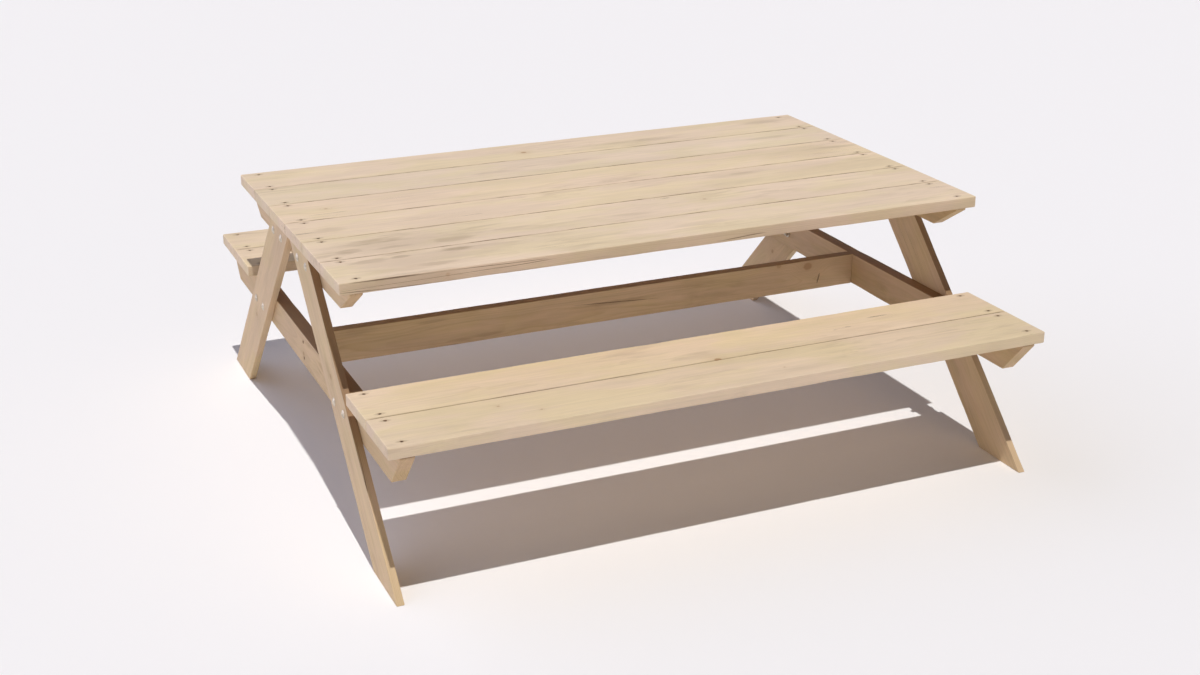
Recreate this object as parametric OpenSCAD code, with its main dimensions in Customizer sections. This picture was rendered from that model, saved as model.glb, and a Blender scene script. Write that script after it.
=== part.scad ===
// Timber picnic table: a six-board top and two two-board benches, carried by two A-frame ends
// that a long stretcher ties together. All sizes are in millimetres.
// X runs along the boards, Y from the front bench to the rear one, and Z is up.
// The origin is on the ground, under the middle of the tabletop.

/* [Overall] */
// Length of the tabletop boards and the bench boards
board_len = 1950; // [1400:10:2600]
// Height of the tabletop above the ground
table_h = 750; // [640:5:920]
// Height of the benches above the ground
seat_h = 448; // [360:2:540]
// From the middle of the table to the outer tip of each foot
foot_reach = 916; // [760:2:1110]

/* [Boards] */
// Width of a tabletop or bench board
board_w = 185; // [140:1:225]
// Thickness of a tabletop or bench board
board_t = 34; // [26:1:44]
// Drainage gap between two boards
board_gap = 2.5; // [1:0.5:10]
// Chamfer that eases the long edges of the tabletop and bench boards
edge_ease = 1.5; // [0.5:0.5:4]

/* [A-frame ends] */
// Width of a leg, square to its length
leg_w = 140; // [105:1:170]
// Thickness of a leg
leg_t = 22; // [18:1:40]
// Gap between the two legs of one end where they meet under the tabletop
leg_meet_gap = 4; // [1:1:40]
// From the ends of the boards in to the outer faces of the legs
leg_inset = 8; // [6:1:80]
// Clear space between a leg and the inner edge of the bench
seat_clear = 58; // [5:1:110]
// Depth of the batten that joins the tabletop boards
batten_h = 76; // [60:1:110]
// Thickness of the batten
batten_t = 34; // [28:1:50]
// Sideways length of the slope cut on each end of the batten
batten_slope = 110; // [30:1:150]
// From the long edge of the tabletop in to the end of the batten
batten_end_inset = 6; // [0:1:60]
// Depth of the bearer that carries both benches
bearer_h = 102; // [70:1:130]
// Thickness of the bearer
bearer_t = 40; // [32:1:60]
// Sideways length of the slope cut on each end of the bearer
bearer_slope = 84; // [30:1:110]
// From the outer edge of the bench in to the end of the bearer
bearer_end_inset = 4; // [0:1:60]
// Height of the square nose left above each slope
nose_h = 6; // [2:1:20]

/* [Stretcher] */
// Thickness of the stretcher between the two bearers
stretcher_t = 34; // [28:1:60]
// Depth of the stretcher
stretcher_h = 102; // [90:1:150]

/* [Screws] */
// Shank diameter of the board screws
screw_d = 5; // [4:0.5:6]
// Head diameter of the board screws
screw_head_d = 10; // [8:0.5:12]
// Length of the tabletop screws, head included
top_screw_len = 45; // [40:1:50]
// Length of the bench screws, head included
seat_screw_len = 60; // [50:1:62]
// Depth that the screw heads are sunk below the timber
screw_sink = 1; // [0.2:0.1:3]
// From the edge of a tabletop board to its screws
top_screw_edge = 16; // [12:1:50]
// From the long edge of the tabletop in to its outermost screws
top_rim_screw_edge = 25; // [20:1:50]
// From the edge of a bench board to its screws
seat_screw_edge = 22; // [12:1:50]
// From the outer edge of a bench in to its outermost screws
seat_rim_screw_edge = 27; // [24:1:50]
// Sideways shift of the tabletop screws from the middle of the batten, towards the table's middle
top_screw_shift = 5; // [-8:1:8]
// Sideways shift of the bench screws from the middle of the bearer, towards the board ends
seat_screw_shift = 6; // [-8:1:8]
// Shank diameter of the stretcher screws
long_screw_d = 6; // [5:0.5:8]
// Head diameter of the stretcher screws
long_screw_head_d = 12; // [10:0.5:15]
// Length of the stretcher screws, head included
long_screw_len = 100; // [80:1:140]
// Distance between the two stretcher screws at one end
long_screw_pitch = 50; // [25:1:60]

/* [Bolts] */
// Shank diameter of the cup-head bolts that hold the legs
bolt_d = 10; // [8:1:12]
// Diameter of the domed bolt head
bolt_head_d = 25; // [20:1:30]
// Height of the domed bolt head
bolt_head_h = 5; // [4:0.5:6]
// Depth of the square neck under the bolt head
bolt_neck_h = 6; // [4:0.5:8]
// Distance between the two bolts of a joint, measured level
bolt_pitch = 90; // [50:1:110]
// Length of bolt that shows past the nut
bolt_tail = 4; // [1:1:15]
// Nut size across flats
nut_flats = 17; // [14:1:19]
// Height of a nut
nut_h = 8; // [6:0.5:11]
// Outer diameter of a washer
washer_d = 30; // [21:1:36]
// Thickness of a washer
washer_t = 2.5; // [1.5:0.5:4]

/* [Fits] */
// Gap all round a screw or a nut on its bolt
close_gap = 0.1; // [0.05:0.05:0.3]
// Gap all round a bolt in the timber
bolt_gap = 0.5; // [0.2:0.1:1]

/* [Hidden] */
$fn = 48;

// Signs and turns of the repeated halves
FRONT = -1;
REAR = 1;
LEFT = -1;
RIGHT = 1;
BOTH = [-1, 1];

top_board_count = 6;
board_pitch = board_w + board_gap;
top_w = top_board_count * board_pitch - board_gap;

// Heights of the undersides that the frame is built up to
top_under = table_h - board_t;
seat_under = seat_h - board_t;
batten_mid_z = top_under - batten_h / 2;
bearer_mid_z = seat_under - bearer_h / 2;

// Lean of the legs from upright: they meet under the tabletop and end at the feet
leg_run = foot_reach - leg_meet_gap / 2;
lean = acos(leg_w / norm([leg_run, top_under])) - atan2(top_under, leg_run);
leg_level_w = leg_w / cos(lean);
function leg_outer_y(z) = foot_reach - z * tan(lean);
function leg_middle_y(z) = leg_outer_y(z) - leg_level_w / 2;

// Places of the frame pieces along X, from the middle of the table
leg_out_x = board_len / 2 - leg_inset;
leg_in_x = leg_out_x - leg_t;
batten_in_x = leg_in_x - batten_t;
bearer_in_x = leg_in_x - bearer_t;

// Places of the benches and of the frame ends along Y
seat_in_y = leg_outer_y(seat_under) + seat_clear;
seat_out_y = seat_in_y + 2 * board_w + board_gap;
batten_half = top_w / 2 - batten_end_inset;
bearer_half = seat_out_y - bearer_end_inset;

// Places of the fasteners
top_screw_x = (leg_in_x + batten_in_x) / 2 - top_screw_shift;
seat_screw_x = (leg_in_x + bearer_in_x) / 2 + seat_screw_shift;
bolt_neck_w = bolt_d;
cut = 1; // extra length of a cutting tool past the face it cuts

// Lower Y edge of tabletop board 1 to 6, counted from the front
function top_board_y(i) = -top_w / 2 + (i - 1) * board_pitch;

// Rectangle with chamfered corners
function eased_rect(w, h, ease) = [
    [ease, 0], [w - ease, 0], [w, ease], [w, h - ease],
    [w - ease, h], [ease, h], [0, h - ease], [0, ease]
];

// Extrudes a YZ outline along X, from x0 to x1
module along_x(x0, x1) {
    translate([x0, 0, 0]) rotate([90, 0, 90]) linear_extrude(height = x1 - x0) children();
}

// Countersunk screw pointing down, the top of its head at the origin
module screw(d, head_d, len) {
    cone_h = (head_d - d) / 2;
    tip_h = d;
    slot_w = head_d / 7;
    slot_l = head_d * 0.55;
    difference() {
        union() {
            translate([0, 0, -cone_h]) cylinder(d1 = d, d2 = head_d, h = cone_h);
            translate([0, 0, tip_h - len]) cylinder(d = d, h = len - tip_h - cone_h);
            translate([0, 0, -len]) cylinder(d1 = d / 5, d2 = d, h = tip_h);
        }
        for (turn = [0, 90]) rotate([0, 0, turn])
            translate([-slot_l / 2, -slot_w / 2, -cone_h * 0.8]) cube([slot_l, slot_w, cone_h]);
    }
}

// Hole for that screw: sunk head, cone and a close bore down to the tip
module screw_hole(d, head_d, len) {
    cone_h = (head_d - d) / 2;
    bore_d = d + 2 * close_gap;
    mouth_d = head_d + 2 * close_gap;
    cylinder(d = mouth_d, h = screw_sink + cut);
    translate([0, 0, -cone_h]) cylinder(d1 = bore_d, d2 = mouth_d, h = cone_h);
    translate([0, 0, -len - close_gap]) cylinder(d = bore_d, h = len);
}

// Puts a child at the screws of one board, whose lower Y edge is y0, at both ends.
// The two edge distances are from the board's lower and its upper Y edge.
module at_board_screws(y0, screw_x, low_edge, high_edge, z) {
    for (x = [-screw_x, screw_x], y = [y0 + low_edge, y0 + board_w - high_edge])
        translate([x, y, z - screw_sink]) children();
}

module at_top_board_screws(i) {
    low_edge = i == 1 ? top_rim_screw_edge : top_screw_edge;
    high_edge = i == top_board_count ? top_rim_screw_edge : top_screw_edge;
    at_board_screws(top_board_y(i), top_screw_x, low_edge, high_edge, table_h) children();
}

module at_bench_board_screws(side, row) {
    rim_edge = row == 1 ? seat_rim_screw_edge : seat_screw_edge;
    low_edge = side == FRONT ? rim_edge : seat_screw_edge;
    high_edge = side == REAR ? rim_edge : seat_screw_edge;
    at_board_screws(bench_board_y(side, row), seat_screw_x, low_edge, high_edge, seat_h) children();
}

module at_top_screws() {
    for (i = [1:top_board_count]) at_top_board_screws(i) children();
}

module at_bench_screws(side) {
    for (row = [0, 1]) at_bench_board_screws(side, row) children();
}

// Puts a child at the two stretcher screws of both ends, pointing into the stretcher
module at_stretcher_screws() {
    for (end = BOTH, dz = [-long_screw_pitch / 2, long_screw_pitch / 2])
        translate([end * (leg_in_x - screw_sink), 0, bearer_mid_z + dz])
            rotate([0, end * 90, 0]) children();
}

// Puts a child at the bolts of both legs at height z, on the leg's outer face, head outwards (+Z)
module at_bolts(z, ends = BOTH, sides = BOTH) {
    for (end = ends, side = sides, dy = [-bolt_pitch / 2, bolt_pitch / 2])
        translate([end * leg_out_x, side * leg_middle_y(z) + dy, z])
            rotate([0, end * 90, 0]) children();
}

// Cup-head bolt: dome above the origin, square neck and shank below it
module bolt(grip) {
    dome_r = (pow(bolt_head_d / 2, 2) + pow(bolt_head_h, 2)) / (2 * bolt_head_h);
    shank_l = grip + washer_t + nut_h + bolt_tail;
    intersection() {
        translate([0, 0, bolt_head_h - dome_r]) sphere(r = dome_r);
        cylinder(d = bolt_head_d, h = bolt_head_h);
    }
    translate([-bolt_neck_w / 2, -bolt_neck_w / 2, -bolt_neck_h])
        cube([bolt_neck_w, bolt_neck_w, bolt_neck_h]);
    translate([0, 0, -shank_l]) cylinder(d = bolt_d, h = shank_l);
}

// Round bolt hole through the whole joint, with the square pocket for the neck
module bolt_hole(grip) {
    pocket_w = bolt_neck_w + 2 * close_gap;
    translate([0, 0, -grip - cut]) cylinder(d = bolt_d + 2 * bolt_gap, h = grip + 2 * cut);
    translate([-pocket_w / 2, -pocket_w / 2, -bolt_neck_h - close_gap])
        cube([pocket_w, pocket_w, bolt_neck_h + close_gap + cut]);
}

module washer(grip) {
    translate([0, 0, -grip - washer_t]) difference() {
        cylinder(d = washer_d, h = washer_t);
        translate([0, 0, -cut]) cylinder(d = bolt_d + 2 * bolt_gap, h = washer_t + 2 * cut);
    }
}

module nut(grip) {
    translate([0, 0, -grip - washer_t - nut_h]) difference() {
        cylinder(d = nut_flats / cos(30), h = nut_h, $fn = 6);
        translate([0, 0, -cut]) cylinder(d = bolt_d + 2 * close_gap, h = nut_h + 2 * cut);
    }
}

// One long board with eased edges, its lower Y edge at y0 and its top at z
module board(y0, z) {
    translate([0, y0, z - board_t]) along_x(-board_len / 2, board_len / 2)
        polygon(eased_rect(board_w, board_t, edge_ease));
}

module top_board(i) {
    color([0.87, 0.78, 0.65]) difference() {
        board(top_board_y(i), table_h);
        at_top_board_screws(i) screw_hole(screw_d, screw_head_d, top_screw_len);
    }
}

// Lower Y edge of a bench board: row 0 is the inner board and row 1 the outer one
function bench_board_y(side, row) =
    side * (seat_in_y + board_w / 2 + row * board_pitch) - board_w / 2;

module bench_board(side, row) {
    color([0.86, 0.77, 0.62]) difference() {
        board(bench_board_y(side, row), seat_h);
        at_bench_board_screws(side, row) screw_hole(screw_d, screw_head_d, seat_screw_len);
    }
}

// Crosspiece outline: level top, and a slope cut at each end up to a square nose
module crosspiece_outline(half, top_z, depth, slope) {
    polygon([
        [-half, top_z], [-half, top_z - nose_h], [slope - half, top_z - depth],
        [half - slope, top_z - depth], [half, top_z - nose_h], [half, top_z]
    ]);
}

module top_batten(end) {
    color([0.80, 0.70, 0.56]) difference() {
        along_x(min(end * leg_in_x, end * batten_in_x), max(end * leg_in_x, end * batten_in_x))
            crosspiece_outline(batten_half, top_under, batten_h, batten_slope);
        at_top_screws() screw_hole(screw_d, screw_head_d, top_screw_len);
        at_bolts(batten_mid_z, [end]) bolt_hole(leg_t + batten_t);
    }
}

module bench_bearer(end) {
    color([0.78, 0.68, 0.54]) difference() {
        along_x(min(end * leg_in_x, end * bearer_in_x), max(end * leg_in_x, end * bearer_in_x))
            crosspiece_outline(bearer_half, seat_under, bearer_h, bearer_slope);
        at_bench_screws(FRONT) screw_hole(screw_d, screw_head_d, seat_screw_len);
        at_bench_screws(REAR) screw_hole(screw_d, screw_head_d, seat_screw_len);
        at_stretcher_screws() screw_hole(long_screw_d, long_screw_head_d, long_screw_len);
        at_bolts(bearer_mid_z, [end]) bolt_hole(leg_t + bearer_t);
    }
}

// A leg: cut level at the foot and under the tabletop
module leg(end, side) {
    top_y = leg_outer_y(top_under);
    color([0.77, 0.69, 0.59]) difference() {
        along_x(min(end * leg_in_x, end * leg_out_x), max(end * leg_in_x, end * leg_out_x))
            polygon([
                [side * foot_reach, 0], [side * (foot_reach - leg_level_w), 0],
                [side * (top_y - leg_level_w), top_under], [side * top_y, top_under]
            ]);
        at_bolts(batten_mid_z, [end], [side]) bolt_hole(leg_t + batten_t);
        at_bolts(bearer_mid_z, [end], [side]) bolt_hole(leg_t + bearer_t);
    }
}

module stretcher() {
    color([0.74, 0.62, 0.46]) difference() {
        along_x(-bearer_in_x, bearer_in_x)
            translate([-stretcher_t / 2, seat_under - stretcher_h])
                square([stretcher_t, stretcher_h]);
        at_stretcher_screws() screw_hole(long_screw_d, long_screw_head_d, long_screw_len);
    }
}

module tabletop_screws() {
    color([0.36, 0.31, 0.26]) at_top_screws() screw(screw_d, screw_head_d, top_screw_len);
}

module bench_screws(side) {
    color([0.36, 0.31, 0.26]) at_bench_screws(side) screw(screw_d, screw_head_d, seat_screw_len);
}

module stretcher_screws() {
    color([0.36, 0.31, 0.26])
        at_stretcher_screws() screw(long_screw_d, long_screw_head_d, long_screw_len);
}

module batten_bolts() {
    color([0.80, 0.80, 0.79]) at_bolts(batten_mid_z) bolt(leg_t + batten_t);
}

module batten_washers() {
    color([0.72, 0.72, 0.71]) at_bolts(batten_mid_z) washer(leg_t + batten_t);
}

module batten_nuts() {
    color([0.66, 0.66, 0.65]) at_bolts(batten_mid_z) nut(leg_t + batten_t);
}

module bearer_bolts() {
    color([0.80, 0.80, 0.79]) at_bolts(bearer_mid_z) bolt(leg_t + bearer_t);
}

module bearer_washers() {
    color([0.72, 0.72, 0.71]) at_bolts(bearer_mid_z) washer(leg_t + bearer_t);
}

module bearer_nuts() {
    color([0.66, 0.66, 0.65]) at_bolts(bearer_mid_z) nut(leg_t + bearer_t);
}

for (i = [1:top_board_count])
    top_board(i);
bench_board(FRONT, 1);  // front_bench_outer_board
bench_board(FRONT, 0);  // front_bench_inner_board
bench_board(REAR, 0);  // rear_bench_inner_board
bench_board(REAR, 1);  // rear_bench_outer_board
top_batten(LEFT);  // left_top_batten
top_batten(RIGHT);  // right_top_batten
bench_bearer(LEFT);  // left_bench_bearer
bench_bearer(RIGHT);  // right_bench_bearer
leg(LEFT, FRONT);  // front_left_leg
leg(RIGHT, FRONT);  // front_right_leg
leg(LEFT, REAR);  // rear_left_leg
leg(RIGHT, REAR);  // rear_right_leg
stretcher();
tabletop_screws();
bench_screws(FRONT);  // front_bench_screws
bench_screws(REAR);  // rear_bench_screws
stretcher_screws();
batten_bolts();
batten_washers();
batten_nuts();
bearer_bolts();
bearer_washers();
bearer_nuts();
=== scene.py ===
"""Picnic table in pale softwood: rounded and weathered timber, screws and cup-head bolts."""

import math
import random
from dataclasses import dataclass

import bmesh
import bpy
from bpy.props import FloatProperty, FloatVectorProperty, IntProperty, PointerProperty
from mathutils import Matrix, Vector, noise


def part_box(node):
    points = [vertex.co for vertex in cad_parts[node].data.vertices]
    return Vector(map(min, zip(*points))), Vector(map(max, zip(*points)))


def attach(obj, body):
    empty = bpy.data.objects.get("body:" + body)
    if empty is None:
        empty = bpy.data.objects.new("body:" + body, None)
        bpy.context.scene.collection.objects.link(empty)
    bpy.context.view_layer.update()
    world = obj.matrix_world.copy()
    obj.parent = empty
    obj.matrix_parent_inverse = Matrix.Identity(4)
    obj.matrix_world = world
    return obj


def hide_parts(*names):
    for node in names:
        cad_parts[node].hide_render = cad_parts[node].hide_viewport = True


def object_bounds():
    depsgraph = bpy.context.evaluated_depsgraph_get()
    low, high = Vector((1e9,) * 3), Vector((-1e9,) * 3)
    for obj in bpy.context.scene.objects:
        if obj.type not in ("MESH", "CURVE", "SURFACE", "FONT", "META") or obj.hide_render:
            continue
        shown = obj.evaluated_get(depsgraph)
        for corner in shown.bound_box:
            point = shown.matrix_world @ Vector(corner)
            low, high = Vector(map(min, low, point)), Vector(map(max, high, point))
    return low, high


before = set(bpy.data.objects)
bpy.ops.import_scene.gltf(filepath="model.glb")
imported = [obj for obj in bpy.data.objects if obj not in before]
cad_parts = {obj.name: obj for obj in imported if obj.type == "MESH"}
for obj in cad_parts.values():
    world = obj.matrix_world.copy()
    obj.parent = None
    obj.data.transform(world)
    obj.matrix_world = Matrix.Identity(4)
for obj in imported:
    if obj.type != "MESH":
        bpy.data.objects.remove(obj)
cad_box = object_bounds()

bl_info = {
    "name": "Picnic table finish",
    "version": (1, 0, 0),
    "blender": (4, 5, 0),
    "location": "View3D > Sidebar > Picnic table",
    "description": "Builds the timber, the fasteners and the stage of a picnic table around its frame",
    "category": "Object",
}

BODY = "root"
MM = 0.001
X_AXIS, Y_AXIS, Z_AXIS = Vector((1, 0, 0)), Vector((0, 1, 0)), Vector((0, 0, 1))


# ---- settings

def number(name, description, default, low, high, **more):
    return FloatProperty(name=name, description=description, default=default, min=low, max=high, **more)


def length(name, description, default_mm, low_mm, high_mm):
    """A length property that is written in millimetres and held in metres."""
    return number(name, description, default_mm * MM, low_mm * MM, high_mm * MM, unit="LENGTH", precision=4)


def angle(name, description, default, low, high):
    return number(name, description, default, low, high, subtype="ANGLE")


def vector(name, description, default, **more):
    return FloatVectorProperty(name=name, description=description, default=default, size=len(default), **more)


def colour(name, description, default):
    return vector(name, description, default, min=0.0, max=1.0, subtype="COLOR")


class TimberSettings(bpy.types.PropertyGroup):
    """Shape and colour of the timber."""

    board_round: length("Board rounding", "Radius worn onto the edges of the boards", 3.6, 0.5, 8)
    frame_round: length("Frame rounding", "Radius worn onto the edges of the frame timber", 2.2, 0.5, 6)
    edge_wander: length("Edge wander", "How far the long edges stray from straight", 0.8, 0, 3)
    edge_dent: length("Edge dents", "Depth of the deepest knocks in the edges", 1.4, 0, 6)
    cut_spacing: length("Shape spacing", "Distance between two cross cuts of the mesh", 22, 10, 200)
    ring_pitch: length("Ring pitch", "Thickness of one year's growth ring", 4.2, 1, 12)
    pale_wood: colour("Pale wood", "Spring growth on a sunny face", (0.765, 0.605, 0.452))
    dark_wood: colour("Dark wood", "Summer growth, the dark line of each ring", (0.56, 0.395, 0.245))
    knot_wood: colour("Knot", "Heart of a knot", (0.26, 0.145, 0.07))
    weathered: colour("Weathered wood", "Grey-brown of the weathered patches", (0.42, 0.315, 0.205))
    crack: colour("Crack", "Inside of a drying crack", (0.13, 0.075, 0.04))
    grime: colour("Grime", "Dirt that has settled between two boards", (0.20, 0.115, 0.06))


class FastenerSettings(bpy.types.PropertyGroup):
    """Shape and colour of the screws, bolts, washers and nuts."""

    round_sides: IntProperty(name="Round sides", description="Sides of a round fastener",
                             default=40, min=12, max=96)
    head_land: length("Head land", "Straight rim of a countersunk head", 0.4, 0.1, 2)
    thread_pitch: length("Thread pitch", "Distance between two thread crests", 2.4, 0.8, 5)
    thread_depth: length("Thread depth", "Depth of the thread", 0.5, 0.1, 1.5)
    bolt_thread_pitch: length("Bolt thread pitch", "Distance between two bolt thread crests", 1.5, 0.8, 3)
    screw_steel: colour("Screw steel", "Dark weathered screw heads", (0.33, 0.27, 0.215))
    screw_rust: colour("Screw rust", "Rust in the screw heads", (0.25, 0.125, 0.065))
    zinc: colour("Zinc", "Zinc plating on bolts, washers and nuts", (0.69, 0.61, 0.49))
    zinc_dull: colour("Dull zinc", "Pale bloom on the zinc", (0.53, 0.47, 0.38))


class StageSettings(bpy.types.PropertyGroup):
    """Floor, light and camera."""

    floor_colour: colour("Floor", "Pale floor", (0.90, 0.895, 0.90))
    floor_size: number("Floor size", "Side of the square floor", 400.0, 5.0, 1000.0, unit="LENGTH")
    sky_colour: colour("Fill light", "Pale light from all round", (1.0, 0.882, 0.954))
    sky_strength: number("Fill strength", "Strength of the fill light at the horizon", 1.165, 0.0, 3.0)
    sky_fall: number("Fill fall-off", "How fast the fill light fades upwards", 3.0, 0.0, 8.0)
    key_colour: colour("Key light", "Light of the high key lamp", (1.0, 0.978, 0.948))
    key_strength: number("Key strength", "Strength of the high key lamp", 2.452, 0.0, 10.0)
    key_softness: angle("Key softness", "Angle that the key lamp fills", math.radians(0.8), 0.0, 1.0)
    key_slope: vector("Key slope", "Shadow offset in X and Y for a height of 1", (0.048, 0.258))
    side_colour: colour("Side light", "Light of the large soft lamp at the rear left", (0.74, 0.79, 1.0))
    side_strength: number("Side strength", "Strength of the large soft lamp", 1.177, 0.0, 10.0)
    side_softness: angle("Side softness", "Angle that the large soft lamp fills", math.radians(75), 0.0, 3.0)
    side_travel: vector("Side travel", "Way that the side light travels", (0.8, -0.7, -0.6))
    camera_place: vector("Camera place", "Where the camera stands", (-1.9977, -4.5095, 2.1637),
                         subtype="TRANSLATION")
    camera_turn: angle("Camera turn", "Turn from +Y towards +X", 0.4168, -math.pi, math.pi)
    camera_dip: angle("Camera dip", "How far the camera looks down", 0.3696, -math.pi, math.pi)
    camera_lens: number("Lens", "Focal length in millimetres", 50.4, 10.0, 300.0)


class PicnicTableSettings(bpy.types.PropertyGroup):
    """All the settings of the picnic table."""

    timber: PointerProperty(type=TimberSettings, name="Timber", description="Timber settings")
    fasteners: PointerProperty(type=FastenerSettings, name="Fasteners", description="Fastener settings")
    stage: PointerProperty(type=StageSettings, name="Stage", description="Stage settings")


def settings():
    return bpy.context.scene.picnic_table


# ---- reading the frame

def solid_boxes(node):
    """Lowest and highest corner of each separate solid in a CAD node."""
    mesh = bmesh.new()
    mesh.from_mesh(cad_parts[node].data)
    bmesh.ops.remove_doubles(mesh, verts=mesh.verts, dist=0.01 * MM)
    waiting = set(mesh.verts)
    boxes = []
    while waiting:
        island = [waiting.pop()]
        for vert in island:
            for edge in vert.link_edges:
                other = edge.other_vert(vert)
                if other in waiting:
                    waiting.remove(other)
                    island.append(other)
        boxes.append(tuple(Vector([pick(v.co[i] for v in island) for i in range(3)]) for pick in (min, max)))
    mesh.free()
    return sorted(boxes, key=lambda box: tuple(round(part, 4) for part in box[0]))


def corners_at(node, height):
    """Lowest and highest Y of a CAD node's corners at one height."""
    found = [v.co.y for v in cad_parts[node].data.vertices if abs(v.co.z - height) < 0.1 * MM]
    return min(found), max(found)


# ---- mesh helpers

def object_from(mesh, name, material=None):
    """Turns a bmesh into a linked object, with one material if given, and frees the bmesh."""
    data = bpy.data.meshes.new(name)
    mesh.to_mesh(data)
    mesh.free()
    if material:
        data.materials.append(material)
    piece = bpy.data.objects.new(name, data)
    bpy.context.scene.collection.objects.link(piece)
    return piece


def discard(piece):
    """Removes an object and its mesh."""
    data = piece.data
    bpy.data.objects.remove(piece)
    bpy.data.meshes.remove(data)


def carve(piece, tool_mesh, operation="DIFFERENCE"):
    """Applies one exact boolean to the piece and removes the tool."""
    tool = object_from(tool_mesh, "cutting_tool")
    cut = piece.modifiers.new("cut", "BOOLEAN")
    cut.operation = operation
    cut.object = tool
    cut.solver = "EXACT"
    cut.material_mode = "INDEX"
    bpy.context.view_layer.update()
    graph = bpy.context.evaluated_depsgraph_get()
    result = bpy.data.meshes.new_from_object(piece.evaluated_get(graph))
    piece.modifiers.clear()
    old = piece.data
    piece.data = result
    result.name = piece.name
    bpy.data.meshes.remove(old)
    discard(tool)


def tidy_shading(piece, sharp=math.radians(38)):
    """Merges doubles, smooths the faces, keeps edges that turn more than the limit sharp, and flats flat."""
    mesh = bmesh.new()
    mesh.from_mesh(piece.data)
    bmesh.ops.remove_doubles(mesh, verts=mesh.verts, dist=0.002 * MM)
    for face in mesh.faces:
        face.smooth = True
    for edge in mesh.edges:
        edge.smooth = len(edge.link_faces) == 2 and edge.calc_face_angle(0.0) < sharp
    mesh.to_mesh(piece.data)
    mesh.free()
    normals = piece.modifiers.new("flat faces stay flat", "WEIGHTED_NORMAL")
    normals.keep_sharp = True
    normals.weight = 80


def lathe(mesh, profile, sides, closed=False):
    """Spins (radius, height) points round Z into a solid. An open profile starts and ends on the axis."""
    verts = [mesh.verts.new((radius, 0, height)) for radius, height in profile]
    edges = [mesh.edges.new(pair) for pair in zip(verts, verts[1:] + verts[:1] if closed else verts[1:])]
    bmesh.ops.spin(mesh, geom=verts + edges, cent=(0, 0, 0), axis=(0, 0, 1), dvec=(0, 0, 0),
                   angle=math.tau, steps=sides, use_merge=True)
    bmesh.ops.remove_doubles(mesh, verts=mesh.verts, dist=0.005 * MM)
    bmesh.ops.recalc_face_normals(mesh, faces=mesh.faces)


def pull_out(mesh, faces, way):
    """Extrudes faces along a vector into a closed solid."""
    grown = bmesh.ops.extrude_face_region(mesh, geom=faces)["geom"]
    bmesh.ops.translate(mesh, verts=[item for item in grown if isinstance(item, bmesh.types.BMVert)], vec=way)
    bmesh.ops.recalc_face_normals(mesh, faces=mesh.faces)


def prism(mesh, outline, x_low, x_high):
    """Extrudes a YZ outline along X."""
    verts = [mesh.verts.new((x_low, y, z)) for y, z in outline]
    pull_out(mesh, bmesh.ops.contextual_create(mesh, geom=verts)["faces"][:1], (x_high - x_low, 0, 0))


def copies(template, places):
    """One bmesh holding a copy of the template mesh at each place."""
    joined = bmesh.new()
    for place in places:
        start = len(joined.verts)
        joined.from_mesh(template)
        joined.verts.ensure_lookup_table()
        bmesh.ops.transform(joined, matrix=place, verts=joined.verts[start:])
    return joined


def turned_to(axis, spin=0.0):
    """Rotation that points local +Z along an axis, after a spin about Z."""
    return axis.to_track_quat("Z", "Y").to_matrix().to_4x4() @ Matrix.Rotation(spin, 4, "Z")


def finish_piece(piece, slot, *nodes):
    """Puts a finished piece in the place of its CAD nodes."""
    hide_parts(*nodes)
    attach(piece, BODY)


# ---- node helpers

class Net:
    """A node tree with short names for the nodes that go into it."""

    def __init__(self, tree):
        self.tree = tree

    def feed(self, made, inputs):
        """Gives each input of a node a link if it gets a socket, and else a value."""
        for key, value in inputs.items():
            if isinstance(value, bpy.types.NodeSocket):
                self.tree.links.new(value, made.inputs[key])
            else:
                made.inputs[key].default_value = value

    def node(self, kind, inputs=None, **options):
        made = self.tree.nodes.new("ShaderNode" + kind)
        for key, value in options.items():
            setattr(made, key, value)
        self.feed(made, inputs or {})
        return made

    def fold(self, operation, values):
        """Folds a list from the left with one kind of sum. An empty list gives 0."""
        result = values[0] if values else 0.0
        for value in values[1:]:
            result = self.node("Math", {0: result, 1: value}, operation=operation).outputs[0]
        return result

    def apply(self, operation, value):
        """A sum that takes one number."""
        return self.node("Math", {0: value}, operation=operation).outputs[0]

    def vector(self, operation, first, second=(0, 0, 0)):
        made = self.node("VectorMath", {0: first, 1: second}, operation=operation)
        return made.outputs["Value" if operation in {"LENGTH", "DOT_PRODUCT"} else "Vector"]

    def parts(self, given):
        """The X, Y and Z of a vector."""
        return self.node("SeparateXYZ", {"Vector": given}).outputs

    def ramp(self, value, low, high, start=0.0, end=1.0):
        """Smooth step of a value from low to high."""
        return self.node("MapRange", {"Value": value, "From Min": low, "From Max": high, "To Min": start,
                                      "To Max": end}, interpolation_type="SMOOTHSTEP").outputs["Result"]

    def noise(self, given, stretch, detail=2.0, roughness=0.5, distortion=0.0):
        """Noise at so many blotches a metre along, across and through the timber."""
        return self.node("TexNoise", {"Vector": self.vector("MULTIPLY", given, stretch), "Scale": 1.0,
                                      "Detail": detail, "Roughness": roughness, "Distortion": distortion},
                         noise_dimensions="3D").outputs

    def mix(self, amount, first, second, blend="MIX"):
        return self.node("Mix", {0: amount, 6: first, 7: second}, data_type="RGBA",
                         blend_type=blend).outputs[2]


# Each sum under a short name, as in net.plus(first, second, third)
for short, operation in {"plus": "ADD", "minus": "SUBTRACT", "times": "MULTIPLY", "over": "DIVIDE",
                         "power": "POWER", "most": "MAXIMUM", "least": "MINIMUM"}.items():
    setattr(Net, short, lambda self, *values, operation=operation: self.fold(operation, values))


def opaque(rgb):
    return (rgb[0], rgb[1], rgb[2], 1.0)


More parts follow.
